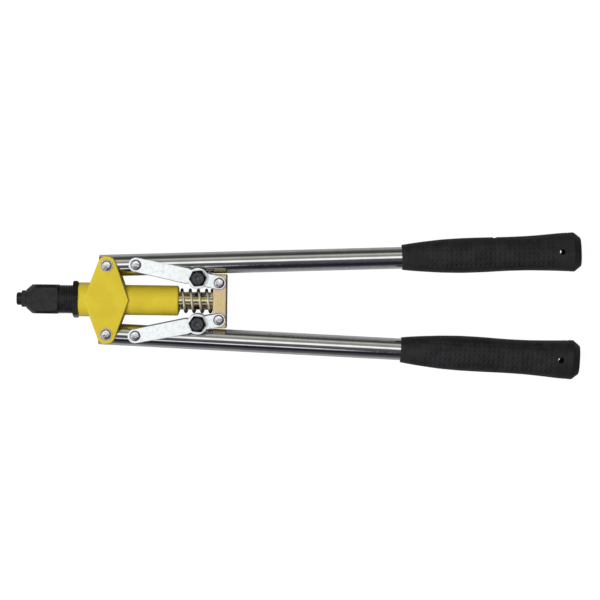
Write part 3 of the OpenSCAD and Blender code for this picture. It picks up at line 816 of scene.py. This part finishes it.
def makeJaws():
    j = jawParts
    outline = [
        (j["frontAt"], j["bore"]), (j["frontAt"], j["frontRadius"]),
        (j["endAt"], j["endRadius"]), (j["endAt"], j["bore"])
    ]
    piece = soften(turned("jaws_turned", outline), j["edge"])
    for turn in (0, 120, 240):
        low = Vector((j["frontAt"] - past, -j["gap"] / 2, -j["caseRadius"])) * mm
        slot = block(low, Vector((j["endAt"] + past, j["gap"] / 2, 0)) * mm)
        slot.data.transform(toolPlace @ Matrix.Rotation(math.radians(turn), 4, "X"))
        combine(piece, slot)
    tidyMesh(piece)
    smooth(piece)
    return settle(piece, "jaw_set", darkSteel, "dark_steel", "jaws")


makeJawCase()
makeJaws()
print("pull bar made")


# Handle tubes

tube = {"front": -6, "radius": 8.25, "wall": 1.6, "inGrip": 112, "edge": 0.25, "pinHole": 3.15}
grip = {
    "length": 135.7, "bore": 8.3, "boreDepth": 112.5, "squareness": 2.35, "columns": 200, "rows": 300,
    "lip": 0.5, "endEdge": 0.7,
    # How far the profile is rounded over, and how that shrinks before the rear end
    "blur": 4, "endBlur": 0.5, "leastBlur": 0.01, "blurEnds": 6, "blurSteps": 4,
    # Distance from the grip's front, then its reach outwards, inwards and upwards
    "profile": [
        (0, 9.9, 9.2, 9.7), (5, 10.6, 9.9, 10.4), (15, 11.8, 10.9, 11.4), (30, 13.2, 12.1, 12.4),
        (45, 13.8, 12.7, 13), (60, 13.9, 12.6, 13.1), (80, 13.8, 12, 13.1), (95, 14.1, 12, 13.4),
        (108, 14.8, 12.5, 13.9), (120, 15.7, 13.1, 14.5), (130.5, 16, 13.9, 14.9), (135.7, 11.6, 9.8, 10.9)
    ],
    "dimpleRows": [-6.8, -2.7, 1.4, 5.5, 9.6], "dimplesFrom": 18, "dimplesTo": 115, "dimplePitch": 3.65,
    "dimpleRadius": 1.15, "dimpleDepth": 0.45, "dimplesAbove": 0.35,
    "ringAt": 126, "ringWidth": 1, "ringDepth": 0.1,
    "notchAt": 70.5, "notchWidth": 1.6, "notchDepth": 0.7, "notchReach": 5,
    "holeFromEnd": 14.6, "holeRadius": 2.25, "holeDraft": 0.95, "holeReach": 16, "holeOutwards": 1.4
}
toolEnd = cadBounds[1].x
handleTilt = math.atan2((crankPin - pivot).y, (crankPin - pivot).x)
gripEnd = (toolEnd - pivot.x) / mm / math.cos(handleTilt) - grip["profile"][-1][2] * math.tan(handleTilt)
gripStart = gripEnd - grip["length"]


def makeTube():
    t = tube
    end = gripStart + t["inGrip"]
    inner = t["radius"] - t["wall"]
    outline = [(t["front"], inner), (t["front"], t["radius"]), (end, t["radius"]), (end, inner)]
    piece = turned("handle_tube_right_chromed", outline, sides=160, place=handlePlace)
    for pin in (pivot, crankPin):
        combine(piece, peg(-2 * t["radius"], 2 * t["radius"], t["pinHole"], uprightAt(pin.x, pin.y)))
    tidyMesh(piece, flatAngle=0.2, merge=0.01)
    soften(piece, t["edge"], angle=50)
    return piece


rightTube = makeTube()
leftTube = mirrored(rightTube, "handle_tube_left_chromed")
for side, piece in (("right", rightTube), ("left", leftTube)):
    smooth(piece)
    settle(piece, "handle_" + side, chromeTube, "chrome_tube", "handle_tube_" + side)
    dress("handle_pivot_block_" + side, "handle_" + side, darkSteel, "dark_steel", edge=0.2)
print("tubes made")


# Grips: a grid is wrapped round the tube's axis, then closed at both ends

def profileAt(distance):
    points = grip["profile"]
    for first, second in zip(points, points[1:]):
        if distance <= second[0]:
            share = (distance - first[0]) / (second[0] - first[0])
            return [a + share * (b - a) for a, b in zip(first[1:], second[1:])]
    return points[-1][1:]


def reachesAt(distance):    # the profile, rounded over where its straight stretches meet
    g = grip
    left = g["length"] - distance
    blur = min(g["blur"], max(g["endBlur"], (left - g["blurEnds"]) / 2), distance + g["leastBlur"])
    blur = max(g["leastBlur"], min(blur, left))
    steps = g["blurSteps"]
    samples = [profileAt(distance + blur * step / steps) for step in range(-steps, steps + 1)]
    return [sum(values) / len(samples) for values in zip(*samples)]


def dip(offset, width):    # 1 in the middle of a dimple or groove, and 0 past its edge
    share = max(0, 1 - (offset / width) ** 2)
    return share * share * (3 - 2 * share)


def dimpleAt(distance, sideways):
    g = grip
    if not g["dimplesFrom"] < distance < g["dimplesTo"]:
        return 0
    column = math.floor((distance - g["dimplesFrom"]) / g["dimplePitch"])
    nearest = g["dimplesFrom"] + g["dimplePitch"] * (0.5 + column)
    row = min(g["dimpleRows"], key=lambda one: abs(one - sideways))
    return g["dimpleDepth"] * dip(math.hypot(distance - nearest, sideways - row), g["dimpleRadius"])


def gripPoint(distance, turn, reaches, notched):
    g = grip
    power = 2 / g["squareness"]
    across, up = math.cos(turn), math.sin(turn)
    y = math.copysign(abs(across) ** power, across) * (reaches[0] if across > 0 else reaches[1])
    z = math.copysign(abs(up) ** power, up) * reaches[2]
    depth = g["ringDepth"] * dip(distance - g["ringAt"], g["ringWidth"])
    if abs(up) > g["dimplesAbove"]:
        depth += dimpleAt(distance, y)
    if notched and across > 0:
        depth += g["notchDepth"] * dip(distance - g["notchAt"], g["notchWidth"]) * dip(z, g["notchReach"])
    shrink = 1 - depth / math.hypot(y, z)
    return Vector((distance, y * shrink, z * shrink)) * mm


def makeGrip(name, notched):
    g = grip
    near = 0.01 * mm
    bpy.ops.object.select_all(action="DESELECT")
    bpy.ops.mesh.primitive_grid_add(x_subdivisions=g["columns"], y_subdivisions=g["rows"], size=1)
    piece = bpy.context.object
    piece.name = name
    reaches = {}
    for corner in piece.data.vertices:
        distance = (corner.co.y + 0.5) * g["length"]
        key = round(distance, 3)
        if key not in reaches:
            reaches[key] = reachesAt(distance)
        corner.co = gripPoint(distance, (corner.co.x + 0.5) * 2 * math.pi, reaches[key], notched)
    tidyMesh(piece)
    openMesh(piece)
    bpy.ops.mesh.select_all(action="DESELECT")
    mesh = bmesh.from_edit_mesh(piece.data)
    for corner in mesh.verts:
        corner.select = corner.co.x < near
    mesh.select_flush(True)
    for radius, back in ((g["bore"] + g["lip"], 0), (g["bore"], g["lip"]), (g["bore"], g["boreDepth"])):
        bpy.ops.mesh.extrude_edges_move()
        mesh = bmesh.from_edit_mesh(piece.data)
        for corner in mesh.verts:
            if corner.select:
                reach = math.hypot(corner.co.y, corner.co.z) or 1
                corner.co = (back * mm, corner.co.y / reach * radius * mm, corner.co.z / reach * radius * mm)
        bmesh.update_edit_mesh(piece.data)
    bpy.ops.mesh.edge_face_add()
    bpy.ops.mesh.select_all(action="DESELECT")
    mesh = bmesh.from_edit_mesh(piece.data)
    for corner in mesh.verts:
        corner.select = corner.co.x > g["length"] * mm - near
    mesh.select_flush(True)
    bpy.ops.mesh.edge_face_add()
    bpy.ops.mesh.bevel(offset=g["endEdge"] * mm, segments=3, affect="EDGES")
    closeMesh()
    piece.data.transform(Matrix.Translation((gripStart * mm, 0, 0)))
    piece.data.transform(handlePlace)
    tidyMesh(piece)
    hole = handlePlace @ Vector(((gripEnd - g["holeFromEnd"]) * mm, g["holeOutwards"] * mm, 0))
    taper = [(-g["holeReach"], 0), (-g["holeReach"], g["holeRadius"] - g["holeDraft"]),
             (g["holeReach"], g["holeRadius"]), (g["holeReach"], 0)]
    combine(piece, turned("hole", taper, sides=48, place=uprightAt(hole.x, hole.y)))
    return piece


rightGrip = makeGrip("grip_right_moulded", True)
leftGrip = mirrored(makeGrip("grip_left_blank", False), "grip_left_moulded")
bpy.data.objects.remove(bpy.data.objects["grip_left_blank"])
for side, piece in (("right", rightGrip), ("left", leftGrip)):
    only(piece)
    bpy.ops.object.shade_smooth_by_angle(angle=math.radians(45))
    settle(piece, "handle_" + side, blackGrip, "black_grip", "grip_" + side)
print("grips made")


# Links, with their pins, clips and stop bolts

plate = {
    "inner": 8.65, "outer": 11.15, "frontRadius": 5.5, "middleRadius": 5.95, "beforeBolt": 9,
    "neckRadius": 5.4, "rearRadius": 5.1, "bossRadius": 7.9, "pad": 0.4, "padInset": 0.05, "padEdge": 0.25,
    "pinBore": 2.8, "boltBore": 2.85, "edge": 0.5,
    # Edges get painted shade where they face the tool's middle by this much and aren't flatter than that
    "toneTurn": 0.25, "toneLean": 0.98
}


def makePlate(name, top):
    p = plate
    bolt = linkPlace.inverted() @ boltCentre / mm
    length = (linkPlace.inverted() @ linkEnd).x / mm
    middle = bolt.x - p["beforeBolt"]
    low, high = (p["inner"], p["outer"]) if top else (-p["outer"], -p["inner"])
    outlines = [
        [(0, 0, p["frontRadius"]), (middle, 0, p["middleRadius"])],
        [(middle, 0, p["neckRadius"]), (length, 0, p["rearRadius"])],
        [(bolt.x, bolt.y, p["bossRadius"])]
    ]
    shapes = [soften(hullOf(name, discs, low, high), p["edge"], segments=3, angle=45) for discs in outlines]
    piece = shapes[0]
    for shape in shapes[1:]:
        combine(piece, shape, "UNION")
    tidyMesh(piece, flatAngle=0.3, merge=0.01)
    if top:
        disc = (bolt.x, bolt.y, p["bossRadius"] - p["padInset"])
        pad = hullOf("pad", [disc], low + p["edge"], high + p["pad"])
        combine(piece, soften(pad, p["padEdge"]), "UNION")
    for x, y, radius in ((0, 0, p["pinBore"]), (length, 0, p["pinBore"]), (bolt.x, bolt.y, p["boltBore"])):
        combine(piece, peg(low - past, high + 2 * past, radius, uprightAt(x * mm, y * mm, 0)))
    tidyMesh(piece, flatAngle=0.3, merge=0.01)
    piece.data.transform(linkPlace)
    return piece


stopBolt = {
    "acrossFlats": 11.6, "headLow": 11.55, "headHigh": 15.45, "faceRadius": 4.66, "coneSlope": 1.7,
    "coneReach": 9, "edge": 0.12, "turn": 5,
    "shankRadius": 2.8, "shankLow": -14.9, "dimpleRadius": 2.4, "dimpleDepth": 0.3
}


def makeStopBolt(side, sign):
    b = stopBolt
    height = b["headHigh"] - b["headLow"]
    place = Vector((boltCentre.x, sign * boltCentre.y, axisZ))
    middle = place + Vector((0, 0, (b["headLow"] + b["headHigh"]) / 2 * mm))
    bpy.ops.object.select_all(action="DESELECT")
    bpy.ops.mesh.primitive_cylinder_add(
        vertices=6, radius=b["acrossFlats"] / math.sqrt(3) * mm, depth=height * mm,
        location=middle, rotation=(0, 0, math.radians(30 + sign * b["turn"])))
    piece = bpy.context.object
    piece.name = "stop_bolt_" + side + "_headed"
    bpy.ops.object.transform_apply(location=True, rotation=True, scale=True)
    coneLow = b["headHigh"] - (b["coneReach"] - b["faceRadius"]) / b["coneSlope"]
    cone = [(b["headLow"] - past, 0), (b["headLow"] - past, b["coneReach"]), (coneLow, b["coneReach"]),
            (b["headHigh"], b["faceRadius"]), (b["headHigh"], 0)]
    axis = uprightAt(place.x, place.y)
    combine(piece, turned("cone", cone, place=axis), "INTERSECT")
    combine(piece, peg(b["shankLow"], b["headLow"] + past, b["shankRadius"], axis), "UNION")
    ballRadius = (b["dimpleRadius"] ** 2 + b["dimpleDepth"] ** 2) / (2 * b["dimpleDepth"])
    bpy.ops.object.select_all(action="DESELECT")
    bpy.ops.mesh.primitive_uv_sphere_add(
        segments=64, ring_count=64, radius=ballRadius * mm,
        location=place + Vector((0, 0, (b["headHigh"] - b["dimpleDepth"] + ballRadius) * mm)))
    ball = bpy.context.object
    bpy.ops.object.transform_apply(location=True, rotation=True, scale=True)
    combine(piece, ball)
    tidyMesh(piece, flatAngle=0.3, merge=0.01)
    smooth(soften(piece, b["edge"], angle=40), angle=30)
    return settle(piece, "link_" + side, boltOxide, "black_oxide_steel", "stop_bolt_" + side)


def finishPlate(piece, level, side, sign):    # the edges that face the middle of the tool get painted shade
    smooth(piece)
    p = plate
    markShadedEdges(piece, lambda face: (face.normal.y * sign < -p["toneTurn"]
                                   and abs(face.normal.z) < p["toneLean"]))
    settle(piece, "link_" + side, brightZinc, "bright_zinc", "link_" + level + "_" + side)


rightPlates = [makePlate("link_" + level + "_right_plated", level == "top") for level in ("top", "bottom")]
for level, piece in zip(("top", "bottom"), rightPlates):
    other = mirrored(piece, "link_" + level + "_left_plated")
    finishPlate(piece, level, "right", 1)
    finishPlate(other, level, "left", -1)
for side, sign in (("right", 1), ("left", -1)):
    for end, place in (("front", crankPin), ("rear", linkEnd)):
        node = "link_" + end + "_pin_" + side
        pin = smooth(makePin(node + "_domed", place.x, sign * place.y, pins["linkTop"]), angle=50)
        settle(pin, "link_" + side, pinSteel, "bright_zinc", node)
    dress("link_pin_clips_" + side, "link_" + side, greyOxide, "dark_steel", pins["edge"])
    makeStopBolt(side, sign)
    dress("stop_washer_" + side, "link_" + side, brightZinc, "bright_zinc", edge=0.1)
    dress("stop_nut_" + side, "link_" + side, blackOxide, "black_oxide_steel", edge=0.12)
print("links made")


# Studio: pale floor, soft lamp overhead, and a world that metal reflects as soft strips along the tool

studio = {
    "ambient": 0.42, "lampX": -0.75, "lampY": -0.05, "lampHeight": 1.5, "lampSize": 0.95, "lampPower": 24,
    "floorSize": 8, "floorDrop": 0.0002, "floorShade": 0.55, "floorDim": 0.1, "floorMetal": 0.3,
    "floorGlow": 0.96, "floorInMetal": 0.08,
    # Distance from the centreline over which the floor seen in metal falls off, and what is left of it
    "floorNear": 0.045, "floorFar": 0.16, "floorLeft": 0.3,
    # Sine of the angle from straight up towards +Y, then the brightness there
    "strips": [
        (-1, (0.10, 0.10, 0.11)), (-0.93, (0.018, 0.018, 0.026)), (-0.74, (0.018, 0.019, 0.028)),
        (-0.6, (0.045, 0.047, 0.06)), (-0.44, (0.085, 0.088, 0.10)), (-0.1, (0.12, 0.117, 0.12)),
        (-0.04, (0.45, 0.44, 0.43)), (0.02, (1.2, 1.2, 1.2)), (0.26, (1.2, 1.2, 1.18)),
        (0.34, (0.32, 0.32, 0.27)), (0.6, (0.28, 0.28, 0.23)), (0.69, (0.6, 0.6, 0.55)),
        (0.78, (0.55, 0.55, 0.5)), (0.87, (0.16, 0.16, 0.14)), (0.94, (0.045, 0.045, 0.045)),
        (1, (0.08, 0.08, 0.08))
    ],
    # A second soft strip towards the nose: its sine, half width and brightness, and where along X it fades
    "secondAt": -0.61, "secondHalf": 0.13, "secondLight": 1.1, "secondFrom": -0.018, "secondTo": 0.008,
    # How far a reflection leans along the tool before it meets the light nose end or the dark rear end
    "endsFrom": 0.12, "endsTo": 0.4, "noseEnd": (0.75, 0.75, 0.77), "rearEnd": (0.03, 0.03, 0.035),
    "noseEndLow": 0.1, "noseEndHigh": 0.5
}


def makeWorld():
    world = bpy.data.worlds.new("studio")
    bpy.context.scene.world = world
    world.use_nodes = True
    w = Board(world.node_tree)
    direction = w.node("ShaderNodeTexCoord", {}, {}, "Generated")
    x = w.node("ShaderNodeSeparateXYZ", {}, {"Vector": direction}, "X")
    y = w.node("ShaderNodeSeparateXYZ", {}, {"Vector": direction}, "Y")
    z = w.node("ShaderNodeSeparateXYZ", {}, {"Vector": direction}, "Z")
    sine = y / (y * y + z * z + 0.0001) ** 0.5    # the small number keeps it finite straight along X
    stops = [((place + 1) / 2, colour) for place, colour in studio["strips"]]
    strips = w.node("ShaderNodeValToRGB", {"stops": stops}, {"Fac": 0.5 * sine + 0.5})
    offSecond = w.node("ShaderNodeMath", {"operation": "ABSOLUTE"}, {0: sine - studio["secondAt"]})
    second = (w.between(offSecond, 1, 0, 0, studio["secondHalf"])
              * w.between(x, 1, 0, studio["secondFrom"], studio["secondTo"]))
    strips = w.mix(second, strips, (studio["secondLight"],) * 3)
    towardsNose = w.between(x, 1, 0, -studio["endsTo"], -studio["endsFrom"])
    towardsRear = w.between(x, 0, 1, studio["endsFrom"], studio["endsTo"])
    lightEnd = w.mix(w.between(y, 0, 1, studio["noseEndLow"], studio["noseEndHigh"]),
                     studio["noseEnd"], studio["rearEnd"])
    seen = w.node("ShaderNodeLightPath", {}, {}, "Is Camera Ray")
    through = w.node("ShaderNodeLightPath", {}, {}, "Is Transmission Ray")
    mirroredRay = w.node("ShaderNodeLightPath", {}, {}, "Is Glossy Ray")
    white = seen + through
    background = world.node_tree.nodes["Background"]
    inMetal = w.mix(towardsRear, w.mix(towardsNose, strips, lightEnd), studio["rearEnd"])
    w.feed(background.inputs["Color"], w.mix(mirroredRay, (1.0, 1.0, 1.0), inMetal))
    w.feed(background.inputs["Strength"], white + mirroredRay + studio["ambient"] * (1 - white - mirroredRay))


def makeFloor():
    bpy.ops.object.select_all(action="DESELECT")
    bpy.ops.mesh.primitive_plane_add(size=studio["floorSize"], location=(0, 0, -studio["floorDrop"]))
    floor = bpy.context.object
    floor.name = "floor"
    material = bpy.data.materials.new("paleFloor")
    material.use_nodes = True
    material.node_tree.nodes.remove(material.node_tree.nodes["Principled BSDF"])
    f = Board(material.node_tree)
    seen = f.node("ShaderNodeLightPath", {}, {}, "Is Camera Ray")
    mirroredRay = f.node("ShaderNodeLightPath", {}, {}, "Is Glossy Ray")
    through = f.node("ShaderNodeLightPath", {}, {}, "Is Transmission Ray")
    place = f.node("ShaderNodeTexCoord", {}, {}, "Object")
    sideways = f.node("ShaderNodeSeparateXYZ", {}, {"Vector": place}, "Y")
    aside = f.node("ShaderNodeMath", {"operation": "ABSOLUTE"}, {0: sideways})
    falloff = f.between(aside, 1, studio["floorLeft"], studio["floorNear"], studio["floorFar"])
    shade = (studio["floorShade"] + (studio["floorDim"] - studio["floorShade"]) * seen
             + (studio["floorMetal"] * falloff - studio["floorShade"]) * mirroredRay)
    tone = f.node("ShaderNodeCombineXYZ", {}, {"X": shade, "Y": shade, "Z": shade})
    matt = f.node("ShaderNodeBsdfDiffuse", {}, {"Color": tone})
    glowing = studio["floorGlow"] * (seen + through) + studio["floorInMetal"] * falloff * mirroredRay
    glow = f.node("ShaderNodeEmission", {}, {"Color": (1.0, 1.0, 1.0), "Strength": glowing})
    both = f.node("ShaderNodeAddShader", {}, {0: matt, 1: glow})
    f.feed(material.node_tree.nodes["Material Output"].inputs["Surface"], both)
    floor.data.materials.append(material)


def makeLamp():
    place = Vector((studio["lampX"], studio["lampY"], studio["lampHeight"]))
    bpy.ops.object.light_add(type="AREA", location=place)
    lamp = bpy.context.object
    lamp.name = "overheadLamp"
    lamp.data.shape = "SQUARE"
    lamp.data.size = studio["lampSize"]
    lamp.data.energy = studio["lampPower"]
    lamp.rotation_euler = (-place).to_track_quat("-Z", "Y").to_euler()
    lamp.visible_glossy = False    # metal shows the world's strips in its place


makeWorld()
makeFloor()
makeLamp()


# Camera: above the tool and a little to its right side, as the photo's slight perspective says

camera = {
    "x": 1.06, "y": 1.7, "distance": 2200, "aside": 60, "viewWidth": 455.8, "roll": 0.76, "sensor": 36,
    "clipEnd": 20
}


def makeCamera():
    c = camera
    roll = Matrix.Rotation(math.radians(c["roll"]), 4, "Z")
    turn = roll @ Matrix.Rotation(-math.atan2(c["aside"], c["distance"]), 4, "X")
    back = math.hypot(c["distance"], c["aside"])
    target = Vector((c["x"] * mm, c["y"] * mm, axisZ))
    bpy.ops.object.camera_add(location=target + turn @ Vector((0, 0, back * mm)), rotation=turn.to_euler())
    eye = bpy.context.object
    eye.data.sensor_width = c["sensor"]
    eye.data.lens = c["sensor"] * back / c["viewWidth"]
    eye.data.clip_end = c["clipEnd"]
    bpy.context.scene.camera = eye


makeCamera()
bpy.context.scene.view_settings.view_transform = "Standard"
print("studio made")
